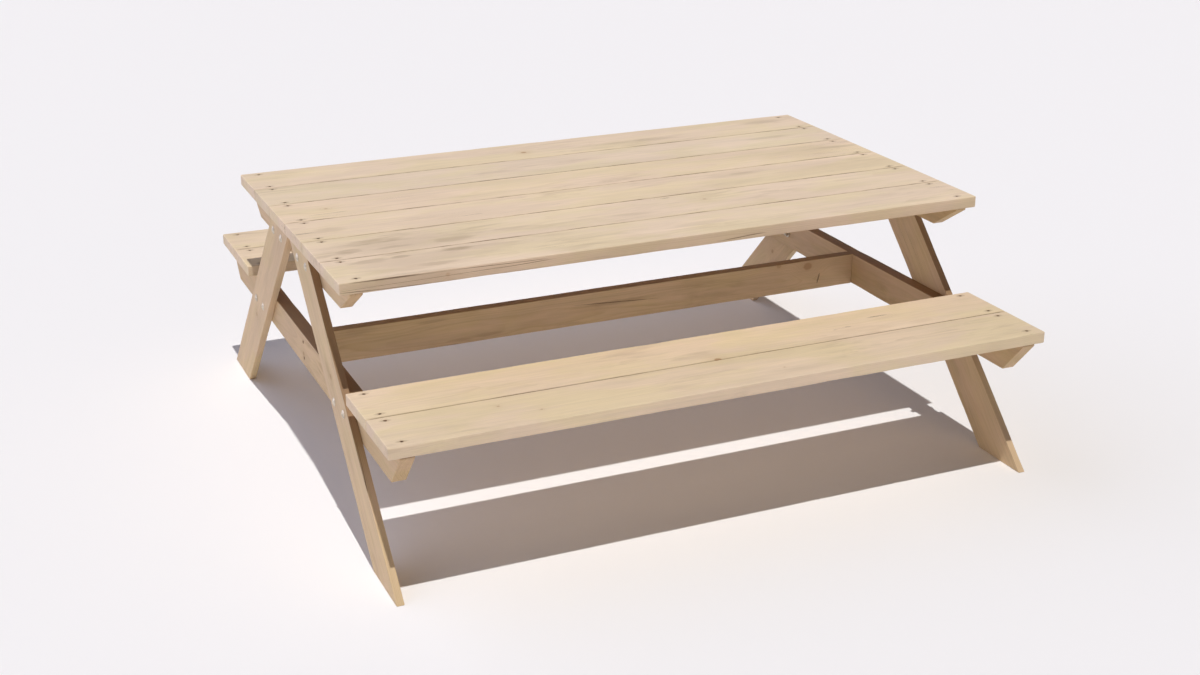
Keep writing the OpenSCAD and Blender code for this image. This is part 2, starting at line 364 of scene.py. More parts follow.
def new_material(name):
    """A node material with only a Principled shader wired to its output."""
    material = bpy.data.materials.new(name)
    material.use_nodes = True
    material.node_tree.nodes.clear()
    net = Net(material.node_tree)
    shader = net.node("BsdfPrincipled")
    net.node("OutputMaterial", {"Surface": shader.outputs["BSDF"]})
    return material, net, shader


# ---- timber material

@dataclass
class Looks:
    """What sets one piece of timber apart from the rest. Points are in the part's own coordinates.

    seed: place in the noises, pith: middle of the rings, across and through, from the piece's middle,
    knots: (point, radius, strength, 1 for a round knot and 0 for one right through the piece),
    smudges: (point, half length, half width, strength), cracks: (middle, half run, half width),
    screws: boxes of the screws, seams: Y of the board's edges that lie beside another board, each
    with its outward sign, grime: (width, least, most) of the dirt in the seams,
    edge_tone: how much painted shade darkens the narrow faces, or None for painted shade on the
    upward faces under the tabletop instead, and edge_splits: how prone the narrow faces are to splits.
    """

    seed: float
    tint: tuple
    pith: tuple
    contrast: float = 0.42
    knots: tuple = ()
    smudges: tuple = ()
    cracks: tuple = ()
    screws: tuple = ()
    seams: tuple = ()
    grime: tuple = (0.0, 0.0, 0.0)
    edge_tone: float = None
    edge_splits: float = 0.3


KNOT_SLIM = 0.78            # A knot is this much closer along the grain than across it
KNOT_RAGGED = 0.45          # The rest of the knot's measures are in radii
KNOT_EDGE = (1.15, 0.7)
KNOT_RING = 0.22
KNOT_BEND = 2.4
KNOT_FADE = -0.13
HALO_STRENGTH = 0.5


def knot_shapes(net, offset_of, knots, ragged):
    """Hearts of the knots, the bend that they give the rings, their own rings, and their halos."""
    hearts, bends, rings, halos = [], [], [], []
    for point, radius, strength, roundness in knots:
        flat = net.vector("MULTIPLY", offset_of(point), (KNOT_SLIM, 1.0, roundness))
        away = net.plus(net.vector("LENGTH", flat), net.times(ragged, KNOT_RAGGED * radius))
        ratio = net.over(away, radius)
        fade = net.apply("EXPONENT", net.times(net.power(ratio, 2.0), KNOT_FADE))
        heart = net.times(net.ramp(ratio, *KNOT_EDGE), strength)
        hearts.append(heart)
        bends.append(net.times(fade, KNOT_BEND * radius))
        rings.append(net.times(net.apply("FRACT", net.over(away, KNOT_RING * radius)), heart))
        halos.append(net.times(fade, HALO_STRENGTH * strength))
    return net.most(*hearts), net.plus(*bends), net.most(*rings), net.most(*halos)


def smudge_shapes(net, offset_of, smudges, ragged):
    found = []
    for point, half_length, half_width, strength in smudges:
        scaled = net.vector("MULTIPLY", offset_of(point), (1 / half_length, 1 / half_width, 0.0))
        away = net.plus(net.vector("LENGTH", scaled), net.times(ragged, 1.1))
        found.append(net.times(net.ramp(away, 1.15, 0.35), strength))
    return net.most(*found)


def crack_shapes(net, offset_of, cracks, ragged):
    """Slanting cracks: dark where a point is near a line and between its two ends."""
    found = []
    for middle, half_run, half_width in cracks:
        reach = math.hypot(*half_run)
        way = (half_run[0] / reach, half_run[1] / reach, 0.0)
        off = net.vector("DOT_PRODUCT", offset_of(middle), (-way[1], way[0], 0))
        off = net.apply("ABSOLUTE", net.plus(off, net.times(ragged, 2.5 * half_width)))
        run = net.apply("ABSOLUTE", net.vector("DOT_PRODUCT", offset_of(middle), way))
        slim = net.times(net.ramp(run, reach, 0.3 * reach), half_width)
        dark = net.ramp(net.minus(off, slim), 0.6 * half_width, -0.2 * half_width)
        found.append(net.times(dark, net.ramp(run, reach, 0.85 * reach)))
    return net.most(*found)


def screw_stain(net, place, ragged, screws):
    """Dark smudge round each screw of a board, drawn out along the grain."""
    if not screws:
        return 0.0
    end_x = max(high.x + low.x for low, high in screws) / 2
    rows = sorted({round((low.y + high.y) / 2, 4) for low, high in screws})
    parts = net.parts(place)
    off_x = net.times(net.minus(net.apply("ABSOLUTE", parts["X"]), end_x), 0.5)
    off_y = net.least(*[net.apply("ABSOLUTE", net.minus(parts["Y"], row)) for row in rows])
    away = net.apply("SQRT", net.plus(net.power(off_x, 2.0), net.power(off_y, 2.0)))
    return net.ramp(net.plus(away, net.times(ragged, 8 * MM)), 9.5 * MM, 4.5 * MM)


def seam_grime(net, place, ragged, seams, grime):
    """Dirt on the edges that face another board, thick in some stretches and washed out at the ends."""
    if not seams:
        return 0.0
    width, least, most = grime
    parts = net.parts(place)
    edges = []
    for edge_y, side in seams:
        inward = net.plus(net.times(net.minus(edge_y, parts["Y"]), float(side)), net.times(ragged, 2.5 * MM))
        patchy = net.noise(net.vector("ADD", place, (edge_y * 40, 0, 0)), (4.5, 0, 0), 3.0, 0.65)["Fac"]
        thick = net.ramp(patchy, 0.42, 0.62, least, most)
        edges.append(net.times(net.ramp(inward, width, 0.35 * width), thick))
    end_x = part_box("top_board_1")[1].x
    washed = net.ramp(net.apply("ABSOLUTE", parts["X"]), end_x - 3 * MM, end_x - 22 * MM)
    return net.times(net.most(*edges), washed)


def painted_shade_under_top(net, place, normal):
    """Painted shade on the frame's upward faces, rising from 0.16 m to 0.38 m high, where the tabletop keeps
    the sun away.
    """
    upward = net.ramp(net.parts(normal)["Z"], 0.1, 0.35)
    return net.times(upward, net.ramp(net.parts(place)["Z"], 0.16, 0.38, 0.0, 0.92))


# Noises of the timber: blotches a metre along and across, detail, roughness, distortion, shift
FIGURES = {
    "wander": (0.9, 4.5, 3.0, 0.5, 0.0, (0, 0, 0)),
    "ripple": (5.0, 30, 2.0, 0.5, 0.0, (0, 0, 0)),
    "fibre": (9, 420, 3.0, 0.6, 0.0, (0, 0, 0)),
    "streak": (3.2, 85, 4.0, 0.6, 0.6, (0, 0, 0)),
    "tone": (2.4, 9.5, 4.0, 0.62, 0.4, (0, 0, 0)),
    "hue": (2.6, 8.0, 4.0, 0.6, 0.4, (7.3, 1.9, 4.1)),
    "wisp": (5.0, 30, 5.0, 0.62, 0.7, (0, 0, 0)),
    "wisp zone": (1.9, 7.0, 2.0, 0.5, 0.0, (2.7, 8.8, 3.3)),
    "split": (1.1, 48, 2.0, 0.4, 0.0, (5.1, 0.7, 9.9)),
    "split zone": (2.2, 11, 2.0, 0.5, 0.0, (1.2, 6.4, 2.2)),
}
RING_SHAPE = ((0.45, 0.10), (0.80, 0.75), (0.90, 1.0), (0.96, 0.45))
HUE_DRIFT = (0.975, 1.0, 0.90, 1.0)
# Painted shade: tone that darkens the frame's upward faces under the tabletop and the narrow faces of the
# tabletop boards
PAINTED_SHADE_TONE = (0.50, 0.41, 0.33, 1.0)
END_GRAIN_TONE = (0.80, 0.76, 0.74, 1.0)
# The Dirt input carries painted shade, not dirt
GROUP_SOCKETS = (
    ("INPUT", "Vector", ("Grain",)),
    ("INPUT", "Float", ("End grain", "Narrow face", "Dirt", "Edge splits", "Stain", "Grime", "Knot",
                        "Knot bend", "Knot rings", "Knot halo", "Smudge", "Crack", "Contrast")),
    ("INPUT", "Color", ("Tint",)),
    ("OUTPUT", "Color", ("Color",)),
    ("OUTPUT", "Float", ("Roughness", "Height")),
)


def timber_group():
    """Node group that grows timber: rings round a pith, fibres, knots, cracks and weathered patches."""
    timber = settings().timber
    net = Net(bpy.data.node_groups.new("timber figure", "ShaderNodeTree"))
    for way, kind, names in GROUP_SOCKETS:
        for name in names:
            net.tree.interface.new_socket(name, in_out=way, socket_type="NodeSocket" + kind)
    given = net.tree.nodes.new("NodeGroupInput").outputs
    times, plus, ramp = net.times, net.plus, net.ramp

    def figure(name, output="Fac"):
        along, across, detail, roughness, distortion, shift = FIGURES[name]
        at = net.vector("ADD", given["Grain"], shift)
        return net.noise(at, (along, across, across), detail, roughness, distortion)[output]

    # Growth rings, wandering slowly along the length and bent by the knots
    bent = given["Grain"]
    for name, sway in (("wander", 0.075), ("ripple", 0.006)):
        off = net.vector("SUBTRACT", figure(name, "Color"), (0.5, 0.5, 0.5))
        bent = net.vector("ADD", bent, net.vector("MULTIPLY", off, (0.0, sway, sway)))
    spread = net.vector("LENGTH", net.vector("MULTIPLY", bent, (0, 1, 1)))
    years = net.over(plus(spread, given["Knot bend"]), timber.ring_pitch)
    line = net.node("ValToRGB", {"Fac": net.apply("FRACT", years)})
    line.color_ramp.interpolation = "B_SPLINE"
    stops = line.color_ramp.elements
    for stop in stops:
        stop.color = (0, 0, 0, 1)
    for position, level in RING_SHAPE:
        stops.new(position).color = (level, level, level, 1)
    year_mark = net.node("TexWhiteNoise", {"W": net.apply("FLOOR", years)}, noise_dimensions="1D")
    ring = times(line.outputs["Color"], plus(times(year_mark.outputs["Value"], 0.75), 0.25))

    # Fibres, streaks and slow drifts of tone
    fibre, streak, tone, hue = [figure(name) for name in ("fibre", "streak", "tone", "hue")]
    uneven = plus(times(given["Contrast"], 3.0), 0.15)
    level = times(plus(times(plus(tone, -0.5), 0.30), times(plus(streak, -0.5), 0.20)), uneven)
    level = plus(level, plus(times(plus(fibre, -0.5), 0.16), 1.01))

    # Weathered wisps, and drying cracks that open most on the narrow faces
    wisps = times(ramp(figure("wisp"), 0.45, 0.66), ramp(figure("wisp zone"), 0.50, 0.68))
    weathered = plus(times(wisps, 0.36), times(given["Smudge"], plus(streak, 0.3)))
    off_line = net.apply("ABSOLUTE", net.minus(figure("split"), 0.5))
    prone = times(given["Narrow face"], given["Edge splits"])
    width = plus(times(prone, 0.016), 0.006)
    split_zone = plus(figure("split zone"), times(prone, 0.13))
    splits = times(ramp(net.over(off_line, width), 1.0, 0.25), ramp(split_zone, 0.62, 0.68))
    splits = net.most(splits, given["Crack"])

    # Colour, layer on layer
    contrast = times(given["Contrast"], plus(times(given["End grain"], 0.9), times(prone, 0.8), 1.0))
    knot = net.mix(given["Knot rings"], opaque([1.8 * part for part in timber.knot_wood]),
                   opaque(timber.knot_wood))
    wood = opaque(timber.pale_wood)
    for amount, layer, blend in (
            (times(ring, contrast), opaque(timber.dark_wood), "MIX"),
            (ramp(hue, 0.40, 0.62), HUE_DRIFT, "MULTIPLY"),
            (1.0, level, "MULTIPLY"),
            # Painted shade, darkening the faces that the Dirt input marks
            (given["Dirt"], PAINTED_SHADE_TONE, "MULTIPLY"),
            (times(given["End grain"], 0.25), END_GRAIN_TONE, "MULTIPLY"),
            (net.least(weathered, 0.8), opaque(timber.weathered), "MIX"),
            (given["Knot halo"], opaque(timber.dark_wood), "MIX"),
            (given["Knot"], knot, "MIX"),
            (times(given["Stain"], 0.5), opaque(timber.weathered), "MIX"),
            (times(given["Grime"], 0.85), opaque(timber.grime), "MIX"),
            (times(splits, 0.8), opaque(timber.crack), "MIX"),
            (1.0, given["Tint"], "MULTIPLY")):
        wood = net.mix(amount, wood, layer, blend)

    # Roughness, and relief in millimetres
    rough = plus(0.66, times(plus(fibre, -0.5), 0.30), times(ring, -0.10),
                 times(net.most(wisps, given["Grime"]), 0.12))
    relief = plus(times(ring, 0.16), times(fibre, 0.30), times(streak, 0.35), times(splits, -1.2),
                  times(given["Knot"], 0.25))
    net.feed(net.tree.nodes.new("NodeGroupOutput"), {"Color": wood, "Roughness": rough, "Height": relief})
    return net.tree


def timber_material(name, along, across, centre, looks):
    """Softwood for one piece: the grain runs along it, and the pith lies to one side of its wide face."""
    material, net, shader = new_material(name)
    turn = Matrix((along, across, along.cross(across)))
    shift = Vector((looks.seed * 3.17, *looks.pith)) - turn @ centre
    source = net.node("TexCoord").outputs
    place, normal = source["Object"], source["Normal"]
    grain = net.node("Mapping", {"Vector": place, "Location": shift,
                                 "Rotation": turn.to_euler()}).outputs["Vector"]
    ragged = net.minus(net.noise(grain, (35, 130, 130))["Fac"], 0.5)
    wispy = net.minus(net.noise(grain, (14, 70, 70), 3.0, 0.6, 0.8)["Fac"], 0.5)

    def offset_of(point):
        return net.vector("SUBTRACT", grain, tuple(turn @ Vector(point) + shift))

    def facing(axis, low, high):
        return net.ramp(net.apply("ABSOLUTE", net.vector("DOT_PRODUCT", normal, axis)), low, high)

    narrow = facing(across, 0.5, 0.9)
    heart, bend, rings, halo = knot_shapes(net, offset_of, looks.knots, ragged)
    figure = net.node("Group", {
        "Grain": grain,
        "End grain": facing(along, 0.55, 0.85),
        "Narrow face": narrow,
        # Painted shade: upward faces of the frame under the tabletop, or the narrow faces by edge_tone
        "Dirt": painted_shade_under_top(net, place, normal) if looks.edge_tone is None else net.times(narrow, looks.edge_tone),
        "Edge splits": looks.edge_splits,
        "Stain": screw_stain(net, place, ragged, looks.screws),
        "Grime": seam_grime(net, place, ragged, looks.seams, looks.grime),
        "Knot": heart,
        "Knot bend": bend,
        "Knot rings": rings,
        "Knot halo": halo,
        "Smudge": smudge_shapes(net, offset_of, looks.smudges, wispy),
        "Crack": crack_shapes(net, offset_of, looks.cracks, ragged),
        "Contrast": looks.contrast,
        "Tint": opaque(looks.tint),
    }, node_tree=bpy.data.node_groups.get("timber figure") or timber_group()).outputs
    bump = net.node("Bump", {"Strength": 0.55, "Distance": 1 * MM, "Height": figure["Height"]})
    net.feed(shader, {"Base Color": figure["Color"], "Roughness": figure["Roughness"],
                      "Normal": bump.outputs["Normal"], "Specular IOR Level": 0.35})
    return material


# ---- timber shapes

SCREW_GAP = 0.2 * MM        # Room round a screw in its hole
SINK = 4 * MM               # How far the cutting tool stands proud of the wood
SEAM_REACH = 10 * MM        # Boards nearer than this share a seam


def weather(mesh, along, across, seed, edge_round, still_sides, tight_sides):
    """Lets the long edges wander and knocks shallow dents in them, never leaving the CAD model's box.

    Edges on a still side do not wander. Edges on a tight side, beside another board, are rounded half
    as much.
    """
    timber = settings().timber
    through = along.cross(across)
    wide, thick = [(min(v.co @ axis for v in mesh.verts), max(v.co @ axis for v in mesh.verts))
                   for axis in (across, through)]
    reach = 2 * edge_round
    low, high = cad_box

    def wave(way, rate, lane, layer):
        return noise.noise(Vector((way * rate, lane, layer)))

    for vert in mesh.verts:
        way = vert.co @ along
        side = 1 if vert.co @ across > sum(wide) / 2 else -1
        if side not in still_sides:
            lane = side * 5.0 + seed * 9.1
            drift = wave(way, 1.7, lane, 0.5) + 0.4 * wave(way, 6.0, lane, 3.5)
            vert.co += across * side * drift * timber.edge_wander
        top = 1 if vert.co @ through > sum(thick) / 2 else -1
        from_side = abs(wide[side > 0] - vert.co @ across)
        from_top = abs(thick[top > 0] - vert.co @ through)
        if side in tight_sides and max(from_side, from_top) < 1.3 * edge_round:
            vert.co += (across * side * from_side + through * top * from_top) * 0.5
        elif from_side < reach and from_top < reach:
            lane = side * 3.0 + seed * 4.7
            knock = wave(way, 6.0, lane, top * 7.0) + 0.35 * wave(way, 17.0, lane, top * 5.0)
            vert.co -= (across * side + through * top) * max(0.0, knock - 0.15) * timber.edge_dent
        vert.co = Vector([min(max(vert.co[i], low[i]), high[i]) for i in range(3)])


def cross_cuts(mesh, along, spacing):
    """Cuts the mesh across its length at even steps."""
    reaches = [v.co @ along for v in mesh.verts]
    first, last = min(reaches), max(reaches)
    count = max(2, round((last - first) / spacing))
    for step in range(1, count):
        point = along * (first + (last - first) * step / count)
        bmesh.ops.bisect_plane(mesh, geom=mesh.verts[:] + mesh.edges[:] + mesh.faces[:],
                               plane_co=point, plane_no=along, dist=0.01 * MM)


def timber_piece(node, outline, along, across, looks, edge_round, slot, holes=None, still_sides=(),
                 tight_sides=()):
    """One stick of timber in the place of a CAD node: a YZ outline, rounded, worn and drilled."""
    low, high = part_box(node)
    material = timber_material(node + " timber", along, across, (low + high) / 2, looks)
    mesh = bmesh.new()
    prism(mesh, outline, low.x, high.x)
    bmesh.ops.bevel(mesh, geom=mesh.edges[:] + mesh.verts[:], offset=edge_round,
                    offset_type="OFFSET", segments=3, profile=0.5, affect="EDGES", material=-1)
    cross_cuts(mesh, along, settings().timber.cut_spacing)
    weather(mesh, along, across, looks.seed, edge_round, still_sides, tight_sides)
    piece = object_from(mesh, node + "_timber", material)
    if holes is not None:
        carve(piece, holes)
    tidy_shading(piece)
    finish_piece(piece, slot, node)


def box_outline(low, high):
    return [(low.y, low.z), (high.y, low.z), (high.y, high.z), (low.y, high.z)]


def crosspiece_outline(node):
    """Level top, square nose and sloped end, read from the CAD corners."""
    low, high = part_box(node)
    front, rear = corners_at(node, low.z)
    nose = min(v.co.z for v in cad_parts[node].data.vertices if abs(v.co.y - high.y) < 0.1 * MM)
    return [(low.y, high.z), (low.y, nose), (front, low.z), (rear, low.z), (high.y, nose), (high.y, high.z)]


def leg_outline(node):
    low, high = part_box(node)
    foot, top = corners_at(node, low.z), corners_at(node, high.z)
    return [(foot[0], low.z), (foot[1], low.z), (top[1], high.z), (top[0], high.z)]


def straight_up(low, high):
    return Z_AXIS


def outward(low, high):
    """Axis of a fastener that lies along X: away from the middle of the table."""
    return X_AXIS if (low + high).x > 0 else -X_AXIS


def screw_size(low, high, axis):
    """Length, head diameter and the middle of the head's top for a screw that lies in a box."""
    size = high - low
    long_side = [i for i in range(3) if abs(axis[i]) > 0.5][0]
    length_of = size[long_side]
    head_d = max(size[i] for i in range(3) if i != long_side)
    top = (low + high) / 2
    top[long_side] = high[long_side] if axis[long_side] > 0 else low[long_side]
    return length_of, head_d, top


def screw_places(boxes, axis_of, chance=None):
    """Place of each screw, turned by chance about its own axis if asked."""
    places = []
    for low, high in boxes:
        axis = axis_of(low, high)
        spin = chance.uniform(0, math.tau) if chance else 0.0
        places.append(Matrix.Translation(screw_size(low, high, axis)[2]) @ turned_to(axis, spin))
    return places


def countersinks(boxes, axis_of):
    """Cutting tool for screws of one size: a mouth, a cone and a close bore for each."""
    length_of, head_d, _ = screw_size(*boxes[0], axis_of(*boxes[0]))
    shank_r, mouth_r = head_d / 4 + SCREW_GAP, head_d / 2 + SCREW_GAP
    tool = bmesh.new()
    lathe(tool, [(0, SINK), (mouth_r, SINK), (mouth_r, 0), (shank_r, shank_r - mouth_r),
                 (shank_r, -length_of), (0, -length_of - SCREW_GAP)], settings().fasteners.round_sides)
    pattern = object_from(tool, "countersink_pattern")
    joined = copies(pattern.data, screw_places(boxes, axis_of))
    discard(pattern)
    return joined


def screws_in(node, screw_node):
    """Boxes of the screws whose axis passes through a CAD node's box."""
    low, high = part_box(node)
    middles = [(box, (box[0] + box[1]) / 2) for box in solid_boxes(screw_node)]
    return [box for box, middle in middles if low.x < middle.x < high.x and low.y < middle.y < high.y]


def chance_knots(chance, low, high, count):
    """A few small knots at chance places, clear of the edges and the ends of a piece."""
    margin = Vector([min(0.12, 0.3 * (high - low)[i]) for i in range(3)])
    return [(tuple(chance.uniform(low[i] + margin[i], high[i] - margin[i]) for i in range(3)),
             chance.uniform(3.5, 8.0) * MM, chance.uniform(0.45, 0.75), 0.0) for _ in range(count)]


def board(node, screw_node, boards, slot, looks):
    """One tabletop or bench board with its countersunk holes."""
    low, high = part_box(node)
    others = [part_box(other) for other in boards if other != node]
    looks.screws = screws_in(node, screw_node)
    looks.seams = ([(low.y, -1) for box in others if abs(box[1].y - low.y) < SEAM_REACH] +
                   [(high.y, 1) for box in others if abs(box[0].y - high.y) < SEAM_REACH])
    timber_piece(node, box_outline(low, high), X_AXIS, Y_AXIS, looks, settings().timber.board_round, slot,
                 countersinks(looks.screws, straight_up), tight_sides=[side for _, side in looks.seams])


# ---- operators: timber

# Marks seen on the tabletop, the benches and the stretcher
TABLE_TOP, BENCH_TOP, STRETCHER_FRONT = 0.75, 0.448, -0.017
FRONT_EDGE_KNOT = ((-0.683, -0.556, 0.735), 7 * MM, 0.35, 0.8)
# X, Y, half length, half width and strength
TOP_SMUDGES = {
    "top_board_1": ((-0.72, -0.45, 0.26, 0.075, 0.32), (-0.765, -0.415, 0.035, 0.016, 0.90),
                    (-0.850, -0.420, 0.075, 0.022, 0.70), (-0.603, -0.408, 0.055, 0.018, 0.85),
                    (-0.691, -0.504, 0.070, 0.020, 0.55), (0.10, -0.47, 0.12, 0.02, 0.25),
                    (-0.79, -0.5612, 0.17, 0.022, 0.42), (-0.80, -0.50, 0.14, 0.05, 0.22)),
    "top_board_2": ((-0.72, -0.30, 0.26, 0.085, 0.30), (-0.752, -0.324, 0.085, 0.014, 0.70),
                    (-0.792, -0.273, 0.090, 0.012, 0.50), (-0.877, -0.318, 0.045, 0.026, 0.60),
                    (-0.590, -0.323, 0.080, 0.030, 0.65)),
    "top_board_3": ((-0.873, -0.108, 0.05, 0.03, 0.3), (0.42, -0.06, 0.12, 0.02, 0.25),
                    (0.74, -0.10, 0.22, 0.08, 0.2)),
    "top_board_4": ((0.78, 0.09, 0.20, 0.08, 0.2),),
    "top_board_5": ((0.75, 0.30, 0.10, 0.02, 0.3),),
    "top_board_6": ((0.83, 0.50, 0.09, 0.03, 0.45), (0.30, 0.44, 0.14, 0.02, 0.25)),
}
# X, Y, radius and strength
BENCH_KNOTS = {
    "front_bench_inner_board": ((0.023, -0.742, 9 * MM, 0.75),),
    "front_bench_outer_board": ((0.02, -0.735, 14 * MM, 0.3), (-0.640, -0.800, 3.5 * MM, 0.5),
                                (-0.545, -0.862, 3 * MM, 0.5), (0.162, -0.864, 2.5 * MM, 0.4)),
}
# X, Z, and then as above; the cracks have their half run along X and Z, and half width
STRETCHER_KNOTS = ((0.735, 0.393, 13 * MM, 0.55), (0.627, 0.408, 7 * MM, 0.4))
STRETCHER_CRACKS = ((0.777, 0.347, (-0.005, -0.019), 2.2 * MM), (0.050, 0.371, (0.160, -0.0095), 0.9 * MM))
STRETCHER_SMUDGES = ((0.050, 0.371, 0.17, 0.009, 0.55), (-0.390, 0.330, 0.07, 0.008, 0.60),
                     (-0.557, 0.398, 0.06, 0.006, 0.50), (-0.470, 0.326, 0.06, 0.006, 0.50),
                     (0.390, 0.345, 0.09, 0.010, 0.40), (-0.780, 0.405, 0.06, 0.020, 0.35))


def on_top(marks, height, *more):
    """Marks on an upward face: each X and Y gets its height."""
    return [((x, y, height), *rest, *more) for x, y, *rest in marks]


def on_front(marks, y, *more):
    """Marks on a front face: each X and Z gets its Y."""
    return [((x, y, z), *rest, *more) for x, z, *rest in marks]


class PICNIC_OT_tabletop(bpy.types.Operator):
    """Build the tabletop boards"""

    bl_idname = "picnic.tabletop"
    bl_label = "Tabletop boards"

    def execute(self, context):
        nodes = sorted(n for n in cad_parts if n.startswith("top_board_"))
        chance = random.Random(11)
        for count, node in enumerate(nodes):
            warm = chance.uniform(-0.012, 0.012)
            light = chance.uniform(0.975, 1.02)
            board(node, "tabletop_screws", nodes, "tabletop_timber", Looks(
                seed=count + 1.0,
                tint=(1.003 * light + warm, 1.018 * light, 1.023 * light - warm),
                pith=(chance.uniform(-0.05, 0.05), -chance.uniform(0.07, 0.13)),
                contrast=0.30,
                knots=[FRONT_EDGE_KNOT] if count == 0 else chance_knots(chance, *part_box(node), count % 2),
                smudges=on_top(TOP_SMUDGES.get(node, ()), TABLE_TOP),
                # Painted shade on the narrow faces of the tabletop boards
                grime=(3.0 * MM, 0.03, 0.9), edge_tone=0.27, edge_splits=1.0))
        return {"FINISHED"}


class PICNIC_OT_benches(bpy.types.Operator):
    """Build the four bench boards"""

    bl_idname = "picnic.benches"
    bl_label = "Bench boards"

    def execute(self, context):
        nodes = sorted(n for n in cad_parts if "_bench_" in n and n.endswith("_board"))
        chance = random.Random(23)
        for count, node in enumerate(nodes):
            light = chance.uniform(0.98, 1.02)
            board(node, node.split("_")[0] + "_bench_screws", nodes, "bench_timber", Looks(
                seed=count + 21.0,
                tint=(light, 1.012 * light, 0.99 * light),
                pith=(chance.uniform(-0.04, 0.04), -chance.uniform(0.08, 0.14)),
                contrast=0.30,
                knots=(on_top(BENCH_KNOTS.get(node, ()), BENCH_TOP, 0.0)
                       or chance_knots(chance, *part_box(node), 2)),
                grime=(2.6 * MM, 0.45, 0.75), edge_tone=0.0, edge_splits=0.0))
        return {"FINISHED"}


def frame_piece(node, outline, along, across, looks, **more):
    """One piece of the frame with its grain along the given axis."""
    timber_piece(node, outline, along, across, looks, settings().timber.frame_round, "frame_timber", **more)


def crosspiece(node, seed, tint, pith, holes=None):
    """A batten or a bearer: grain along Y, and a flat top for the boards to lie on."""
    looks = Looks(seed, tint, pith, knots=chance_knots(random.Random(int(seed)), *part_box(node), 1))
    frame_piece(node, crosspiece_outline(node), Y_AXIS, Z_AXIS, looks, holes=holes, still_sides=(1,))


class PICNIC_OT_battens(bpy.types.Operator):
    """Build the two battens under the tabletop"""

    bl_idname = "picnic.battens"
    bl_label = "Tabletop battens"

    def execute(self, context):
        for seed, node in ((41.0, "left_top_batten"), (42.0, "right_top_batten")):
            crosspiece(node, seed, (0.80, 0.73, 0.60), (0.01, -0.06))
        return {"FINISHED"}


class PICNIC_OT_bearers(bpy.types.Operator):
    """Build the two bearers under the benches"""

    bl_idname = "picnic.bearers"
    bl_label = "Bench bearers"

    def execute(self, context):
        for seed, node in ((51.0, "left_bench_bearer"), (52.0, "right_bench_bearer")):
            side = math.copysign(1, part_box(node)[0].x)
            screws = [box for box in solid_boxes("stretcher_screws") if box[0].x * side > 0]
            crosspiece(node, seed, (0.76, 0.68, 0.555), (-0.012, -0.07), countersinks(screws, outward))
        return {"FINISHED"}


class PICNIC_OT_legs(bpy.types.Operator):
    """Build the four leaning legs"""

    bl_idname = "picnic.legs"
    bl_label = "Legs"

    def execute(self, context):
        nodes = sorted(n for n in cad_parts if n.endswith("_leg"))
        for count, node in enumerate(nodes):
            outline = leg_outline(node)
            corners = [Vector((0,) + point) for point in outline]
            along = (corners[3] - corners[0]).normalized()
            middle = Vector((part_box(node)[0].x, 0, 0)) + sum(corners, Vector()) / 4
            knot = middle + along * (0.1 - 0.09 * count)
            frame_piece(node, outline, along, X_AXIS.cross(along), Looks(
                seed=count + 61.0, tint=(0.83, 0.77, 0.655), pith=(0.01 * count - 0.015, -0.08),
                knots=[(tuple(knot), 7 * MM, 0.5, 0.0)]))
        return {"FINISHED"}


class PICNIC_OT_stretcher(bpy.types.Operator):
    """Build the stretcher between the bearers"""

    bl_idname = "picnic.stretcher"
    bl_label = "Stretcher"

    def execute(self, context):
        frame_piece("stretcher", box_outline(*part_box("stretcher")), X_AXIS, Z_AXIS, Looks(
            seed=71.0, tint=(0.77, 0.695, 0.55), pith=(0.015, -0.07), contrast=0.5,
            knots=on_front(STRETCHER_KNOTS, STRETCHER_FRONT, 0.0),
            smudges=on_front(STRETCHER_SMUDGES, STRETCHER_FRONT),
            cracks=on_front(STRETCHER_CRACKS, STRETCHER_FRONT), edge_splits=1.0))
        return {"FINISHED"}


# ---- metal

SCREW_STEEL, ZINC_PLATE = "weathered screw steel", "zinc plate"
PLAIN_SHANK = 0.42          # Share of a screw's length that has no thread
BOLT_THREAD_LENGTH = 24 * MM
BOLT_END = 2 * MM           # Chamfered end of a bolt
DOME_STEPS = 10
TOUCH = 0.001 * MM          # A cutting tool stands this much proud of the face that it leaves


def metal_material(name, bright, dull, metallic, rough_low, rough_high, blotch):
    """Metal with blotches of a duller finish, so many a metre."""
    _, net, shader = new_material(name)
    place = net.node("TexCoord").outputs["Object"]
    blotches = net.noise(place, [blotch] * 3, 4.0, 0.6)["Fac"]
    fine = net.noise(place, [blotch * 9] * 3)["Fac"]
    amount = net.ramp(blotches, 0.42, 0.60)
    rough = net.ramp(net.plus(net.times(amount, 0.7), net.times(fine, 0.3)), 0.0, 1.0, rough_low, rough_high)
    bump = net.node("Bump", {"Strength": 0.3, "Distance": 0.15 * MM, "Height": fine})
    net.feed(shader, {"Base Color": net.mix(amount, opaque(bright), opaque(dull)), "Roughness": rough,
                      "Normal": bump.outputs["Normal"], "Metallic": metallic})


def metal_object(mesh, material):
    """A fastener to copy, made of one of the metals."""
    return object_from(mesh, "fastener_template", bpy.data.materials[material])


